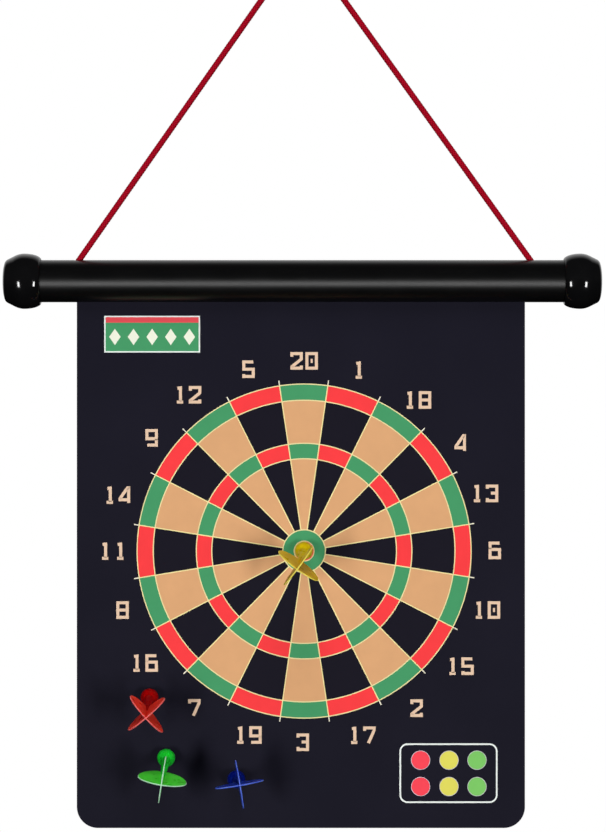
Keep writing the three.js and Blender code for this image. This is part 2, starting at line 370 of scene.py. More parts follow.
def braided_tube(name, line, diameter, material):
    """A braided cord along any line, both ends closed, and the even line it was made on."""
    centres, run = evenly(line, cord_ring_spacing)
    along = np.gradient(centres, axis=0)
    along /= np.linalg.norm(along, axis=1)[:, None]
    sides = [np.array([0.0, 1.0, 0.0]) - along[0] * along[0][1]]
    for direction in along[1:]:
        sides.append(sides[-1] - direction * sides[-1].dot(direction))
        sides[-1] /= np.linalg.norm(sides[-1])
    side = np.array(sides)
    up = np.cross(along, side)
    turns = np.arange(cord_sides) * 2 * np.pi / cord_sides
    height = braid_height(turns[None, :], run[:, None])
    radius = diameter / 2 - strand_mean_height + height
    around = side[:, None] * np.cos(turns)[None, :, None] + up[:, None] * np.sin(turns)[None, :, None]
    points = (centres[:, None] + around * radius[..., None]).reshape(-1, 3)
    faces = [
        (r * cord_sides + i, r * cord_sides + (i + 1) % cord_sides,
         (r + 1) * cord_sides + (i + 1) % cord_sides, (r + 1) * cord_sides + i)
        for r in range(len(centres) - 1) for i in range(cord_sides)
    ]
    last = (len(centres) - 1) * cord_sides
    faces += [tuple(range(cord_sides)), tuple(range(last, last + cord_sides))]
    tube = new_piece(name, points, faces, material)
    # The crown height goes to the finish, which paints shade from it: darker low between strands, lighter on
    # their crowns.
    crown = tube.data.attributes.new("crown", "FLOAT", "POINT")
    crown.data.foreach_set("value", (height / (strand_bulge + strand_weave)).astype(np.float32).ravel())
    return tube, centres


def red_braid():
    material, tree, shader = sheen_of("red_braid", (0.4, 0.012, 0.03), 0.9)
    crown = tree.nodes.new("ShaderNodeAttribute")
    crown.attribute_name = "crown"
    fuzz = mottle(tree, 2600, 3)
    # Painted shade: the braid's red is much darker where it sits low between strands and lighter on their
    # crowns.
    crevice_shade = tint(tree, between(tree, crown.outputs["Fac"], 0, 1, 0.1, 0.9),
                   (0.11, 0.001, 0.004), (0.5, 0.004, 0.02))
    patches = tree.nodes.new("ShaderNodeMix")
    patches.data_type, patches.blend_type = "RGBA", "MULTIPLY"
    patches.inputs["Factor"].default_value = 1
    tree.links.new(crevice_shade, patches.inputs[6])
    tree.links.new(tint(tree, between(tree, fuzz, 0, 1), (0.7, 0.7, 0.7), (1, 1, 1)), patches.inputs[7])
    tree.links.new(patches.outputs[2], shader.inputs["Base Color"])
    shader.inputs["Specular IOR Level"].default_value = 0.04
    emboss(tree, shader, fuzz, 0.05 * MM)
    return material


cord_finish = red_braid()
cord_whole = cord_run(-1, left_hole_x)[:0:-1] + cord_run(1, right_hole_x)
hanging_cord, cord_line = braided_tube("hanging_cord_braid", cord_whole, cord_diameter, cord_finish)
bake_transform(hanging_cord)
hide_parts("hanging_cord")

# ---- Cord knots ---------------------------------------------------------------------------------
# Inside the tube each end of the cord is tied in a tight overhand knot, too fat for the hole, with a
# short tail left below it. It is the same braid, pulled thinner where it crosses itself.

knot_spread = 1.42 * MM
knot_height = 1.3
knot_cord_diameter = 3.9 * MM
knot_open = 0.3
knot_drop = 4.1 * MM
knot_steps = 32


def tied_knot(name, low, high):
    """An overhand knot inside its CAD solid: in from the hole, three crossings, out as the tail."""
    middle = Vector(((low.x + high.x) / 2, (low.y + high.y) / 2, high.z - knot_drop))
    line = [Vector((middle.x, middle.y, high.z))]
    for i in range(knot_steps + 1):
        t = knot_open + (2 * math.pi - 2 * knot_open) * i / knot_steps
        line.append(middle + knot_spread * Vector((
            math.sin(t) + 2 * math.sin(2 * t), math.cos(t) - 2 * math.cos(2 * t),
            knot_height * math.sin(3 * t))))
    line.append(Vector((middle.x, middle.y, low.z)))
    return braided_tube(name, smooth_line(line, 6), knot_cord_diameter, cord_finish)[0]


for word, box in (("left", left_knot), ("right", right_knot)):
    knot = tied_knot(f"{word}_cord_knot_tied", *box)
    fit(knot, "tube", "cord", f"{word}_cord_knot")

# ---- Sheet rod ----------------------------------------------------------------------------------
# A split rod of grey plastic that grips the sheet's top edge. It slides into the tube from the end
# and is fatter than the slot, so the sheet hangs from it and can swing.

rod_low, rod_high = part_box("sheet_rod")
rod_radius = (rod_high.y - rod_low.y) / 2
rod_axis_z = rod_high.z - rod_radius
rod_slit_width = 1.4 * MM
rod_slit_top = 1.5 * MM


def grey_plastic():
    material, tree, shader = sheen_of("grey_plastic", (0.04, 0.04, 0.042), 0.5)
    draw_lines = mottle(tree, 1, 4, (6, 2500, 2500))
    tree.links.new(between(tree, draw_lines, 0.42, 0.6), shader.inputs["Roughness"])
    tree.links.new(tint(tree, draw_lines, (0.033, 0.033, 0.035), (0.05, 0.05, 0.052)),
                   shader.inputs["Base Color"])
    emboss(tree, shader, draw_lines, 0.015 * MM)
    return material


def slit_line(steps):
    """The sides and the bottom of the slit as (y, z) points, one for each point round the rod."""
    half, foot = rod_slit_width / 2, -math.sqrt(rod_radius ** 2 - (rod_slit_width / 2) ** 2)
    corners = [(half, foot), (half, rod_slit_top), (-half, rod_slit_top), (-half, foot)]
    quarter = steps // 3
    line = []
    for (y0, z0), (y1, z1) in zip(corners, corners[1:]):
        line += [(y0 + (y1 - y0) * i / quarter, z0 + (z1 - z0) * i / quarter) for i in range(quarter)]
    return line + [corners[-1]]


rod_steps = 72
rod_outside = split_ring(rod_radius, rod_slit_width, rod_steps)
rod_slit = slit_line(rod_steps)[1:-1]
rod_section = rod_outside + rod_slit[::-1]
rod_points = [(x, y, rod_axis_z + z) for x in (rod_low.x, rod_high.x) for y, z in rod_section]
rod_size = len(rod_section)
rod_faces = [(i, (i + 1) % rod_size, rod_size + (i + 1) % rod_size, rod_size + i) for i in range(rod_size)]
rod_faces += [tuple(range(rod_size)), tuple(range(rod_size, 2 * rod_size))]
sheet_rod = new_piece("sheet_rod_split", rod_points, rod_faces, grey_plastic())
fit(sheet_rod, "sheet", "rod_plastic", "sheet_rod")

# ---- Sheet --------------------------------------------------------------------------------------
# The playing surface: iron-filled rubber rolled thin, with a matt printed film laminated on its face
# and a plain black film on its back, then die-cut with rounded bottom corners.

film_low, film_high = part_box("sheet_print_film")
core_low, core_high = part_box("sheet_ferrous_core")
back_low, back_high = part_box("sheet_back_film")
sheet_half_width = (film_high.x - film_low.x) / 2
sheet_middle = (film_high.x + film_low.x) / 2
sheet_bottom, sheet_height = film_low.z, film_high.z - film_low.z
sheet_corner = 17 * MM


def matt_film():
    material, tree, shader = sheen_of("matt_black_film", (0.0095, 0.0088, 0.017), 0.62)
    grain = mottle(tree, 2200, 3)
    clouds = mottle(tree, 14, 3)
    tree.links.new(tint(tree, between(tree, clouds, 0, 1),
                        (0.0088, 0.0082, 0.0158), (0.0102, 0.0095, 0.0180)), shader.inputs["Base Color"])
    tree.links.new(between(tree, grain, 0.56, 0.68), shader.inputs["Roughness"])
    shader.inputs["Specular IOR Level"].default_value = 0.05
    emboss(tree, shader, grain, 0.01 * MM)
    return material


def iron_rubber():
    material, tree, shader = sheen_of("iron_rubber", (0.02, 0.017, 0.015), 0.85)
    specks = mottle(tree, 3500, 4)
    tree.links.new(tint(tree, between(tree, specks, 0, 1), (0.014, 0.012, 0.011), (0.034, 0.029, 0.026)),
                   shader.inputs["Base Color"])
    tree.links.new(between(tree, specks, 0.7, 0.95), shader.inputs["Roughness"])
    emboss(tree, shader, specks, 0.05 * MM)
    return material


def back_film():
    material, tree, shader = sheen_of("back_film", (0.011, 0.011, 0.012), 0.7)
    weave = mottle(tree, 1400, 2)
    rolling = mottle(tree, 9, 3, (1, 1, 4))
    tree.links.new(tint(tree, between(tree, rolling, 0, 1), (0.0095, 0.0095, 0.0105), (0.014, 0.014, 0.015)),
                   shader.inputs["Base Color"])
    tree.links.new(between(tree, weave, 0.6, 0.82), shader.inputs["Roughness"])
    emboss(tree, shader, weave, 0.06 * MM)
    return material


def sheet_outline(steps):
    """The cut outline: square at the top, a round corner at each side of the bottom."""
    outline = [(sheet_half_width, sheet_height), (-sheet_half_width, sheet_height)]
    for side, first in ((-1, math.pi), (1, 3 * math.pi / 2)):
        middle = side * (sheet_half_width - sheet_corner)
        for i in range(steps + 1):
            a = first + math.pi / 2 * i / steps
            outline.append((middle + sheet_corner * math.cos(a), sheet_corner + sheet_corner * math.sin(a)))
    return outline


def slab(outline, front_y, back_y):
    """Points and faces of an outline between two planes. Its points are (across, up), counted from
    the middle of the sheet's bottom edge."""
    size = len(outline)
    points = [(sheet_middle + x, y, sheet_bottom + z) for y in (front_y, back_y) for x, z in outline]
    faces = [(i, (i + 1) % size, size + (i + 1) % size, size + i) for i in range(size)]
    return points, faces + [tuple(range(size)), tuple(range(size, 2 * size))]


sheet_layers = (
    ("printed_film", "print_film", "sheet_print_film", film_low.y, film_high.y, matt_film()),
    ("ferrous_core", "ferrous_core", "sheet_ferrous_core", core_low.y, core_high.y, iron_rubber()),
    ("backing_film", "back_film", "sheet_back_film", back_low.y, back_high.y, back_film()),
)
for name, slot, node, front_y, back_y, finish in sheet_layers:
    layer = new_piece(name, *slab(sheet_outline(24), front_y, back_y), finish)
    fit(layer, "sheet", slot, node)

# ---- Printed target -----------------------------------------------------------------------------
# Screen-printed ink on the film: twenty sectors in black and tan, the double and treble rings and the
# bull in red and green, then the pale yellow lines over them. Each pass of ink is a very thin layer.

ink_depth = 0.02 * MM
colour_lift = 0.03 * MM
line_lift = 0.05 * MM
target_x, target_z = 2.6 * MM, 222.5 * MM
double_outer, double_inner = 134.2 * MM, 121.2 * MM
treble_outer, treble_inner = 86.6 * MM, 74.2 * MM
bull_outer, bull_inner = 17.1 * MM, 8 * MM
line_width = 0.85 * MM
tick_end = 138.4 * MM
sectors = 20
narrow_sectors = (0, 10)
narrow_turn = math.radians(16.6)
wide_turn = (2 * math.pi - len(narrow_sectors) * narrow_turn) / (sectors - len(narrow_sectors))
first_edge = math.radians(-8.45)


def srgb(red, green, blue):
    """The shader's colour for an ink given in the 0 to 255 numbers of a colour card."""
    card = [c / 255 for c in (red, green, blue)]
    return tuple(c / 12.92 if c <= 0.04045 else ((c + 0.055) / 1.055) ** 2.4 for c in card)


def ink(name, colour, roughness=0.5):
    """Matt ink: a little uneven in strength, with the grain of the film showing through."""
    material, tree, shader = sheen_of(name, colour, roughness)
    grain = mottle(tree, 2200, 3)
    cover = mottle(tree, 60, 4)
    thin = tuple(c * 0.95 for c in colour)
    tree.links.new(tint(tree, between(tree, cover, 0, 1), thin, colour), shader.inputs["Base Color"])
    tree.links.new(between(tree, grain, roughness - 0.05, roughness + 0.1), shader.inputs["Roughness"])
    shader.inputs["Specular IOR Level"].default_value = 0.05
    emboss(tree, shader, grain, 0.01 * MM)
    return material


def on_target(radius, turn):
    """A point of the target, its turn counted clockwise from the top."""
    return target_x + radius * math.sin(turn), target_z + radius * math.cos(turn)


def sector_edge(number):
    """Where a sector begins. The print isn't quite even: the top and bottom sectors are narrower."""
    narrow = sum(1 for n in narrow_sectors if n < number)
    return first_edge + narrow * narrow_turn + (number - narrow) * wide_turn


def sector_band(inner, outer, first, last, steps=10):
    """The outline of part of a ring, or of a slice where inner is 0."""
    turns = [first + (last - first) * i / steps for i in range(steps + 1)]
    outline = [on_target(outer, t) for t in turns]
    if inner == 0:
        return outline + [on_target(0, 0)]
    return outline + [on_target(inner, t) for t in reversed(turns)]


def printed(name, passes, lift):
    """One printed pass, as thin slabs that start inside the film. Passes holds (outline, material)."""
    points, faces, slots, materials = [], [], [], []
    for outline, material in passes:
        if material not in materials:
            materials.append(material)
        first = len(points)
        slab_points, slab_faces = slab(outline, film_low.y - lift, film_low.y + ink_depth)
        points += slab_points
        faces += [tuple(first + i for i in face) for face in slab_faces]
        slots += [materials.index(material)] * len(slab_faces)
    piece = new_piece(name, points, faces, *materials)
    piece.data.polygons.foreach_set("material_index", slots)
    piece.data.shade_flat()
    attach(piece, "sheet")
    return piece


tan_ink = ink("tan_ink", srgb(222, 168, 120))
black_ink = ink("black_ink", srgb(25, 23, 34), 0.6)
red_ink = ink("red_ink", srgb(251, 64, 68))
green_ink = ink("green_ink", srgb(71, 154, 103))
wire_ink = ink("wire_ink", srgb(246, 232, 165))
ring_ink = ink("ring_ink", srgb(240, 226, 165))
tick_ink = ink("tick_ink", srgb(242, 236, 214))

target_passes = []
for number in range(sectors):
    first, last = sector_edge(number), sector_edge(number + 1)
    plain, ring = (tan_ink, green_ink) if number % 2 == 0 else (black_ink, red_ink)
    target_passes += [
        (sector_band(bull_outer, treble_inner, first, last), plain),
        (sector_band(treble_inner, treble_outer, first, last), ring),
        (sector_band(treble_outer, double_inner, first, last), plain),
        (sector_band(double_inner, double_outer, first, last), ring),
        (sector_band(bull_inner, bull_outer, first, last, 4), green_ink),
        (sector_band(0, bull_inner, first, last, 4), red_ink),
    ]
printed("target_colours", target_passes, colour_lift)

line_passes = []
for radius in (bull_inner, bull_outer, treble_inner, treble_outer, double_inner, double_outer):
    for number in range(sectors):
        line_passes.append((sector_band(
            radius - line_width / 2, radius + line_width / 2,
            sector_edge(number), sector_edge(number + 1), 8), ring_ink))
for number in range(sectors):
    turn = sector_edge(number)
    half = line_width / 2
    stops = (bull_outer, treble_inner, treble_outer, double_inner, double_outer, tick_end + half)
    for near, far in zip(stops, stops[1:]):
        line_passes.append(([
            on_target(near + half, turn - half / near), on_target(far - half, turn - half / far),
            on_target(far - half, turn + half / far), on_target(near + half, turn + half / near),
        ], tick_ink if near == double_outer else wire_ink))
printed("target_lines", line_passes, line_lift)

# ---- Printed numbers ----------------------------------------------------------------------------
# The sector numbers round the target, printed upright in a square-cut face with slab feet, in pale
# peach ink. Each figure is drawn with a broad square nib.

figure_height = 14.1 * MM
figure_width = 10 * MM
figure_nib = 2.4 * MM
figure_dot_nib = 1.6 * MM
figure_step = 12.1 * MM
figure_one_shift = 1.1 * MM
# Each number, how many degrees clockwise from the top it stands, and its distance from the bull in
# millimetres. The print isn't quite even.
number_places = (
    (20, 0, 152.8), (1, 16.8, 152), (18, 37.2, 152.4), (4, 55.4, 152.8), (13, 72.4, 153.2),
    (6, 89.8, 153.2), (10, 107.8, 155), (15, 126.2, 156.6), (2, 144.4, 155.2), (17, 162.2, 155.4),
    (3, 180.4, 153.6), (19, 196.6, 154.2), (7, 215, 153.8), (16, 234.8, 156), (8, 252, 153.4),
    (11, 270, 153.8), (14, 286.8, 155.6), (9, 306.6, 152.6), (12, 323.6, 156), (5, 343, 152.8),
)
# Each figure's strokes, as lines of (across, up) from 0 to 1 along the middle of the nib. A line that
# ends where it began is a closed loop.
figure_strokes = {
    "0": [[(0, 0), (0, 1), (1, 1), (1, 0), (0, 0)]],
    "1": [[(0.24, 0.95), (0.55, 0.98), (0.55, 0.05)], [(0.17, 0), (0.83, 0)]],
    "2": [[(0, 0.78), (0, 1), (1, 1), (1, 0.62), (0, 0.1), (0, 0), (1, 0), (1, 0.18)]],
    "3": [[(0, 0.82), (0, 1), (1, 1), (1, 0), (0, 0), (0, 0.18)], [(0.38, 0.52), (0.85, 0.52)]],
    "4": [[(0.9, -0.04), (0.9, 1), (0.78, 1), (0, 0.28), (0, 0.18), (0.75, 0.18)]],
    "5": [[(1, 1), (0, 1), (0, 0.5), (1, 0.5), (1, 0), (0, 0), (0, 0.16)]],
    "6": [[(0, 0.56), (1, 0.56), (1, 0), (0, 0), (0, 0.56)], [(0, 0.6), (0, 1), (1, 1)]],
    "7": [[(0, 0.8), (0, 1), (1, 1), (1, 0.84), (0.4, -0.04)]],
    "8": [[(0, 0), (0, 1), (1, 1), (1, 0), (0, 0)], [(0.15, 0.5), (0.85, 0.5)]],
    "9": [[(1, 0.44), (0, 0.44), (0, 1), (1, 1), (1, 0.44)], [(1, 0.4), (1, 0), (0.05, 0)]],
}
figure_dots = {"0": [(0.5, 0.36), (0.5, 0.64)]}


def nib_strip(line, half):
    """The quads of a broad line with mitred corners."""
    marks = [Vector(p) for p in line]
    closed = (marks[0] - marks[-1]).length < 1e-6
    if closed:
        marks = marks[:-1]
    left, right = [], []
    count = len(marks)
    for i, mark in enumerate(marks):
        before = (mark - marks[i - 1]).normalized() if closed or i else None
        after = (marks[(i + 1) % count] - mark).normalized() if closed or i < count - 1 else None
        before, after = before or after, after or before
        bisector = Vector((-(before.y + after.y), before.x + after.x)).normalized()
        reach = half / max(0.5, bisector.dot(Vector((-after.y, after.x))))
        left.append(mark + bisector * reach)
        right.append(mark - bisector * reach)
    pairs = range(count if closed else count - 1)
    return [[left[i], left[(i + 1) % count], right[(i + 1) % count], right[i]] for i in pairs]


def figure(character, middle_x, middle_z):
    """The outlines of one figure, centred on a point."""
    wide, high = figure_width - figure_nib, figure_height - figure_nib
    strokes = [(stroke, figure_nib) for stroke in figure_strokes[character]]
    if character in figure_dots:
        strokes.append((figure_dots[character], figure_dot_nib))
    outlines = []
    for stroke, nib in strokes:
        line = [(middle_x + (across - 0.5) * wide, middle_z + (up - 0.5) * high) for across, up in stroke]
        outlines += [[tuple(p) for p in quad] for quad in nib_strip(line, nib / 2)]
    return outlines


number_ink = ink("number_ink", srgb(232, 200, 172))
number_passes = []
for number, turn, distance in number_places:
    x, z = on_target(distance * MM, math.radians(turn))
    figures = str(number)
    if 10 <= number < 20 and number != 11:
        x -= figure_one_shift
    for i, character in enumerate(figures):
        across = x + (i - (len(figures) - 1) / 2) * figure_step
        number_passes += [(outline, number_ink) for outline in figure(character, across, z)]
printed("target_numbers", number_passes, colour_lift)

# ---- Printed panel ------------------------------------------------------------------------------
# A small panel in the sheet's top left corner: a white frame, a red stripe over a green field, and a
# plain row of cream diamonds. It carries no name.

panel_left, panel_right = -158 * MM, -81 * MM
panel_bottom, panel_top = 382 * MM, 411.5 * MM
panel_frame = 1.1 * MM
panel_stripe = 4.4 * MM
diamonds = 5
diamond_half_width = 4.6 * MM
diamond_half_height = 6.6 * MM


def rectangle(left, right, bottom, top):
    return [(left, bottom), (right, bottom), (right, top), (left, top)]


white_ink = ink("white_ink", srgb(238, 244, 240))
cream_ink = ink("cream_ink", srgb(240, 244, 224))
field_left, field_right = panel_left + panel_frame, panel_right - panel_frame
field_bottom, field_top = panel_bottom + panel_frame, panel_top - panel_frame
stripe_bottom = field_top - panel_stripe
stripe_ink = ink("stripe_ink", srgb(230, 80, 88))
panel_passes = [
    (rectangle(panel_left, panel_right, panel_bottom, field_bottom), white_ink),
    (rectangle(panel_left, panel_right, field_top, panel_top), white_ink),
    (rectangle(panel_left, field_left, field_bottom, field_top), white_ink),
    (rectangle(field_right, panel_right, field_bottom, field_top), white_ink),
    (rectangle(field_left, field_right, stripe_bottom, field_top), stripe_ink),
    (rectangle(field_left, field_right, field_bottom, stripe_bottom), green_ink),
]
printed("corner_panel", panel_passes, colour_lift)
diamond_passes = []
diamond_step = (field_right - field_left) / diamonds
diamond_z = (field_bottom + stripe_bottom) / 2
for i in range(diamonds):
    x = field_left + (i + 0.5) * diamond_step
    diamond_passes.append(([
        (x - diamond_half_width, diamond_z), (x, diamond_z - diamond_half_height),
        (x + diamond_half_width, diamond_z), (x, diamond_z + diamond_half_height)], cream_ink))
printed("corner_panel_diamonds", diamond_passes, line_lift)

# ---- Printed score box --------------------------------------------------------------------------
# A round-cornered white outline in the bottom right corner, round two rows of red, yellow and green
# spots. A little of the pale first coat shows round each spot.

box_left, box_right = 79.2 * MM, 158 * MM
box_bottom, box_top = 20.1 * MM, 68 * MM
box_corner = 6.5 * MM
box_line = 1.3 * MM
spot_radius = 7.3 * MM
spot_rim = 0.4 * MM
spot_columns = (96.2 * MM, 119 * MM, 141.5 * MM)
spot_rows = (54.5 * MM, 33.3 * MM)
spot_sides = 48


def round_corners(left, right, bottom, top, radius, steps):
    """A rectangle's outline with round corners, anticlockwise from its bottom left."""
    outline = []
    corners = ((left, bottom, 2), (right, bottom, 3), (right, top, 0), (left, top, 1))
    for x, z, quarter in corners:
        middle_x = x + radius if quarter in (1, 2) else x - radius
        middle_z = z + radius if quarter in (2, 3) else z - radius
        for i in range(steps + 1):
            a = (quarter + i / steps) * math.pi / 2
            outline.append((middle_x + radius * math.cos(a), middle_z + radius * math.sin(a)))
    return outline


def round_spot(x, z, radius):
    turns = [2 * math.pi * i / spot_sides for i in range(spot_sides)]
    return [(x + radius * math.cos(a), z + radius * math.sin(a)) for a in turns]


rose_ink = ink("rose_ink", srgb(252, 73, 88))
yellow_ink = ink("yellow_ink", srgb(228, 221, 96))
leaf_ink = ink("leaf_ink", srgb(126, 202, 103))
first_coat = ink("first_coat", srgb(206, 200, 210))
outer_line = round_corners(box_left, box_right, box_bottom, box_top, box_corner, 10)
inner_line = round_corners(box_left + box_line, box_right - box_line, box_bottom + box_line,
                           box_top - box_line, box_corner - box_line, 10)
box_passes = []
for i in range(len(outer_line)):
    after = (i + 1) % len(outer_line)
    box_passes.append(([outer_line[i], outer_line[after], inner_line[after], inner_line[i]], white_ink))
for x, spot_ink in zip(spot_columns, (rose_ink, yellow_ink, leaf_ink)):
    for height in spot_rows:
        spot, coat = (round_spot(x, height, radius) for radius in (spot_radius, spot_radius + spot_rim))
        box_passes.append((spot, spot_ink))
        box_passes += [([coat[i - 1], coat[i], spot[i], spot[i - 1]], first_coat) for i in range(spot_sides)]
printed("score_box", box_passes, colour_lift)

# ---- Darts --------------------------------------------------------------------------------------
# Four magnetic darts in tinted, slightly clear plastic. Each is a turned-looking moulding with a ball
# for a head and a tapered shaft, a magnet pressed into the ball, and a flight pushed on the shaft.

dome_radius = 9 * MM
fit_gap = 0.3 * MM
magnet_radius = 4 * MM
magnet_length = 4.6 * MM
head_radius = 7.2 * MM
head_centre = 6.6 * MM
head_lip = 1.6 * MM
neck_radius = 3.6 * MM
shaft_end = 26 * MM
shaft_end_radius = 2.9 * MM
spigot_radius = 1.5 * MM
spigot_end = 31 * MM
neck_end = 19 * MM
neck_blend = 0.16
sleeve_end = 44 * MM
sleeve_end_radius = 1.2 * MM
fin_thickness = 1 * MM
fin_half_span = 19.4 * MM
fin_widest = 51.5 * MM
fin_front = 16 * MM
fin_rear = 10.5 * MM
fin_rim = 0.35 * MM
# Name, place on the sheet from its middle and its bottom in millimetres, then in degrees how far the
# tail droops, leans to the right and how the cross is turned. Then the plastic's colour where it is
# thick, in the head and shaft, where it is thin, in the fins, and a lighter colour on the fins' cut
# edges, a painted glow that stands in for light carried out through the clear plastic.
dart_places = (
    ("red", -121.3, 105, 12, -0.3, 49, srgb(162, 2, 3), srgb(238, 58, 38), srgb(242, 104, 102)),
    ("green", -108, 56.5, 16.6, -1.7, 9.5, srgb(26, 200, 50), srgb(84, 232, 66), srgb(184, 238, 196)),
    ("blue", -51.5, 40, -1.6, 4.3, -9.3, srgb(2, 20, 118), srgb(28, 58, 180), srgb(84, 110, 214)),
    ("yellow", 2, 222.5, 13, -5.5, 37, srgb(215, 187, 8), srgb(220, 183, 2), srgb(246, 226, 96)),
)


def arc(radius, centre, first, last, steps):
    """Points of a round stretch of a profile, as (radius, along)."""
    turns = [first + (last - first) * i / steps for i in range(steps + 1)]
    return [(radius * math.cos(a), centre + radius * math.sin(a)) for a in turns]


def along_dart(profile):
    """A profile counted from the tip of the magnet's dome, as one that turns about the dome's centre."""
    return [(radius, dome_radius - along) for radius, along in profile]


def magnet_profile():
    edge = math.acos(magnet_radius / dome_radius)
    dome = arc(dome_radius, dome_radius, -math.pi / 2, -edge, 10)
    rim = magnet_length - 0.3 * MM
    return along_dart([(0, 0)] + dome[1:] + [
        (magnet_radius, rim), (magnet_radius - 0.3 * MM, magnet_length), (0, magnet_length)])


def body_profile():
    """The socket, the rounded lip, the ball, the fillet into the neck, the taper and the spigot."""
    socket_radius, socket_end = magnet_radius + fit_gap, magnet_length + fit_gap
    lip = math.asin((head_lip - head_centre) / head_radius)
    neck = math.acos(neck_radius / head_radius)
    ball = arc(head_radius, head_centre, lip, neck - neck_blend, 30)
    last_radius, last_along = ball[-1]
    fillet = smooth_line([
        (last_radius, last_along), (neck_radius + 0.35 * MM, last_along + 0.8 * MM),
        (neck_radius, last_along + 2.4 * MM), (shaft_end_radius + 0.3 * MM, neck_end),
        (shaft_end_radius, shaft_end - 0.4 * MM)], 5)
    return along_dart([
        (0, socket_end), (socket_radius, socket_end), (socket_radius, head_lip + 0.2 * MM),
        (socket_radius + 0.2 * MM, head_lip)] + ball + [(p.x, p.y) for p in fillet[1:]] + [
        (shaft_end_radius - 0.4 * MM, shaft_end), (spigot_radius, shaft_end),
        (spigot_radius, spigot_end - 0.3 * MM), (spigot_radius - 0.3 * MM, spigot_end), (0, spigot_end)])


def leaf_plate(name, turn, *plastics):
    """One leaf-shaped plate with rounded rims, widest near the tail. It makes two opposite fins."""
    steps = 96
    levels = ((1, fin_thickness / 2 - fin_rim), (1 - fin_rim / fin_front, fin_thickness / 2))
    rings = [*reversed(levels), *((scale, -depth) for scale, depth in levels)]
    quarter_turn = Matrix.Rotation(turn, 4, "Y")
    points = []
    for scale, depth in rings:
        for i in range(steps):
            a = 2 * math.pi * i / steps
            reach = fin_front if i < steps / 2 else fin_rear
            points.append(quarter_turn @ Vector((
                scale * fin_half_span * math.cos(a),
                dome_radius - fin_widest + scale * reach * math.sin(a), depth)))
    faces = [
        (r * steps + i, r * steps + (i + 1) % steps, (r + 1) * steps + (i + 1) % steps, (r + 1) * steps + i)
        for r in range(len(rings) - 1) for i in range(steps)
    ]
    rim_faces = len(faces)
    faces += [tuple(range(steps)), tuple(range((len(rings) - 1) * steps, len(rings) * steps))]
    plate = new_piece(name, points, faces, *plastics)
    # The rim faces take the second plastic, a lighter colour painted on as the glow of light along the cut
    # edges.
    plate.data.polygons.foreach_set("material_index", [1] * rim_faces + [0, 0])
    return plate


def sleeve_shapes(*plastics):
    """The flight's tapered sleeve in the third plastic, and the bore that its spigot needs."""
    sleeve = [(0, shaft_end + fit_gap), (shaft_end_radius, shaft_end + fit_gap),
              (sleeve_end_radius + 0.4 * MM, sleeve_end - 0.5 * MM), (sleeve_end_radius, sleeve_end),
              (0, sleeve_end)]
    bore_radius = spigot_radius + fit_gap
    bore = [(0, shaft_end - fit_gap), (bore_radius, shaft_end - fit_gap),
            (bore_radius, spigot_end + fit_gap), (0, spigot_end + fit_gap)]
    shapes = (new_piece("sleeve", *turned(along_dart(sleeve), 48), *plastics),
              new_piece("bore", *turned(along_dart(bore), 32), *plastics))
    for shape in shapes:
        shape.data.polygons.foreach_set("material_index", [2] * len(shape.data.polygons))
    return shapes


def tinted_plastic(name, colour, roughness):
    """Clear-looking tinted plastic: light goes a little way in, and the skin is smooth and glossy."""
    material, tree, shader = sheen_of(name, colour, roughness)
    clouds = mottle(tree, 120, 2)
    deeper = tuple(c * 0.85 for c in colour)
    tree.links.new(tint(tree, between(tree, clouds, 0, 1), deeper, colour), shader.inputs["Base Color"])
    tree.links.new(between(tree, clouds, roughness - 0.05, roughness + 0.08), shader.inputs["Roughness"])
    shader.inputs["Subsurface Weight"].default_value = 0.8
    shader.inputs["Subsurface Radius"].default_value = (1.0, 1.0, 1.0)
    shader.inputs["Subsurface Scale"].default_value = 2 * MM
    shader.inputs["Specular IOR Level"].default_value = 0.25
    emboss(tree, shader, clouds, 0.01 * MM)
    return material


def magnet_grey():
    material, tree, shader = sheen_of("magnet_grey", (0.09, 0.09, 0.095), 0.42)
    pits = mottle(tree, 1800, 4)
    tree.links.new(tint(tree, between(tree, pits, 0, 1), (0.05, 0.05, 0.053), (0.12, 0.12, 0.125)),
                   shader.inputs["Base Color"])
    tree.links.new(between(tree, pits, 0.34, 0.55), shader.inputs["Roughness"])
    shader.inputs["Metallic"].default_value = 0.7
    emboss(tree, shader, pits, 0.03 * MM)
    return material


magnet_finish = magnet_grey()
for word, x, height, droop, lean, turn, thick_colour, thin_colour, edge_glow_colour in dart_places:
    thick = tinted_plastic(f"{word}_dart_thick_plastic", thick_colour, 0.3)
    thin = tinted_plastic(f"{word}_dart_thin_plastic", thin_colour, 0.3)
    # Painted glow: the fins' cut edges get a lighter plastic that stands in for light the clear plastic
    # carries to them.
    edge = tinted_plastic(f"{word}_dart_painted_edge_glow", edge_glow_colour, 0.35)
    stand = (
        Matrix.Translation((sheet_middle + x * MM, film_low.y - fit_gap - dome_radius,
                            sheet_bottom + height * MM))
        @ Matrix.Rotation(math.radians(lean), 4, "Z")
        @ Matrix.Rotation(math.radians(droop), 4, "X")
        @ Matrix.Rotation(math.radians(turn), 4, "Y")
    )
    magnet = new_piece(f"{word}_magnet", *turned(magnet_profile(), 48), magnet_finish)
    shaft = new_piece(f"{word}_head_and_shaft", *turned(body_profile(), 64), thick)
    plastics = (thin, edge, thick)
    flight = leaf_plate(f"{word}_flight", 0, *plastics)
    combine(flight, leaf_plate("upright_fins", math.pi / 2, *plastics), "UNION")
    sleeve, bore = sleeve_shapes(*plastics)
    combine(flight, sleeve, "UNION")
    combine(flight, bore, "DIFFERENCE")
    for piece, node, slot in ((magnet, "magnet", "magnet"), (shaft, "body", f"{word}_plastic"),
                              (flight, "flight", f"{word}_plastic")):
        piece.data.transform(stand)
        fit(piece, f"{word}_dart", slot, f"{word}_dart_{node}")

# ---- Studio -------------------------------------------------------------------------------------
# A plain white floor well below the board, white light from behind and above, a tall softbox on each
# side, a weak one overhead that leaves no streak on the gloss black, and a long lens square to the board.

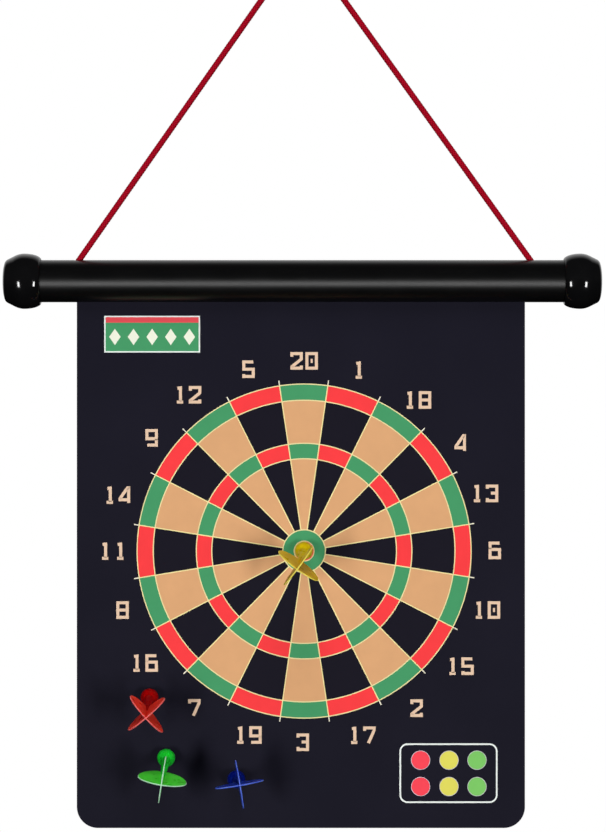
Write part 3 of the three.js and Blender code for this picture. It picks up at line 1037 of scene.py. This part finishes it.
floor_drop = 600 * MM
floor_half = 3.9
camera_distance = 2.5
view_height = 668.6 * MM
view_middle = Vector((0.5 * MM, 0, -374.8 * MM))
softbox_distance = 2.4
softbox_turn = math.radians(31)
softbox_z = -0.88
softbox_width = 0.4
softbox_height = 0.85
softbox_watts = 28.4
overhead_place = Vector((0, -1.2, 1.4))
overhead_size = 1.0
overhead_watts = 20.5


def white_surround():
    """White to look at. It lights the board from behind and above, and hardly at all from the front."""
    world = bpy.data.worlds.new("surround")
    bpy.context.scene.world = world
    world.use_nodes = True
    tree = world.node_tree
    seen = tree.nodes["Background"]
    seen.inputs["Color"].default_value = (1, 1, 1, 1)
    lit = tree.nodes.new("ShaderNodeBackground")
    lit.inputs["Color"].default_value = (1, 1, 1, 1)
    way = tree.nodes.new("ShaderNodeTexCoord")
    split = tree.nodes.new("ShaderNodeSeparateXYZ")
    tree.links.new(way.outputs["Generated"], split.inputs["Vector"])
    behind = between(tree, split.outputs["Y"], 0.02, 0.9, 0.3, 0.7)
    above = between(tree, split.outputs["Z"], 0, 1, -0.2, 0.2)
    both = tree.nodes.new("ShaderNodeMath")
    both.operation = "MULTIPLY"
    tree.links.new(behind, both.inputs[0])
    tree.links.new(above, both.inputs[1])
    tree.links.new(both.outputs["Value"], lit.inputs["Strength"])
    path = tree.nodes.new("ShaderNodeLightPath")
    choice = tree.nodes.new("ShaderNodeMixShader")
    tree.links.new(path.outputs["Is Camera Ray"], choice.inputs["Fac"])
    tree.links.new(lit.outputs["Background"], choice.inputs[1])
    tree.links.new(seen.outputs["Background"], choice.inputs[2])
    tree.links.new(choice.outputs["Shader"], tree.nodes["World Output"].inputs["Surface"])


def pale_floor():
    material, tree, shader = sheen_of("pale_floor", (0.85, 0.85, 0.85), 0.8)
    shader.inputs["Emission Color"].default_value = (1, 1, 1, 1)
    shader.inputs["Emission Strength"].default_value = 0.75
    tree.links.new(between(tree, mottle(tree, 8, 3), 0.75, 0.85), shader.inputs["Roughness"])
    return material


def softbox(name, place, aim, width, height, watts):
    lamp = bpy.data.lights.new(name, "AREA")
    lamp.shape = "RECTANGLE"
    lamp.size, lamp.size_y, lamp.energy = width, height, watts
    box = bpy.data.objects.new(name, lamp)
    box.location = place
    box.rotation_euler = (Vector(aim) - Vector(place)).to_track_quat("-Z", "Y").to_euler()
    bpy.context.scene.collection.objects.link(box)
    return box


white_surround()
floor_z = sheet_bottom - floor_drop
floor = new_piece("floor", [(-floor_half, -floor_half, floor_z), (floor_half, -floor_half, floor_z),
                            (floor_half, floor_half, floor_z), (-floor_half, floor_half, floor_z)],
                  [(0, 1, 2, 3)], pale_floor())
floor.visible_glossy = floor.visible_diffuse = floor.visible_transmission = False
for side, word in ((-1, "left"), (1, "right")):
    place = (side * softbox_distance * math.sin(softbox_turn),
             -softbox_distance * math.cos(softbox_turn), softbox_z)
    softbox(f"{word}_softbox", place, view_middle, softbox_width, softbox_height, softbox_watts)
overhead = softbox("overhead_softbox", overhead_place, view_middle, overhead_size, overhead_size,
                   overhead_watts)
overhead.visible_glossy = False

camera = bpy.data.objects.new("camera", bpy.data.cameras.new("camera"))
bpy.context.scene.collection.objects.link(camera)
bpy.context.scene.camera = camera
camera.data.sensor_width = 36
camera.data.lens = camera.data.sensor_width * camera_distance / view_height
camera.location = view_middle + Vector((0, -camera_distance, 0))
camera.rotation_euler = (math.pi / 2, 0, 0)
camera.data.clip_start, camera.data.clip_end = 0.05, 50
bpy.context.scene.view_settings.view_transform = "Standard"
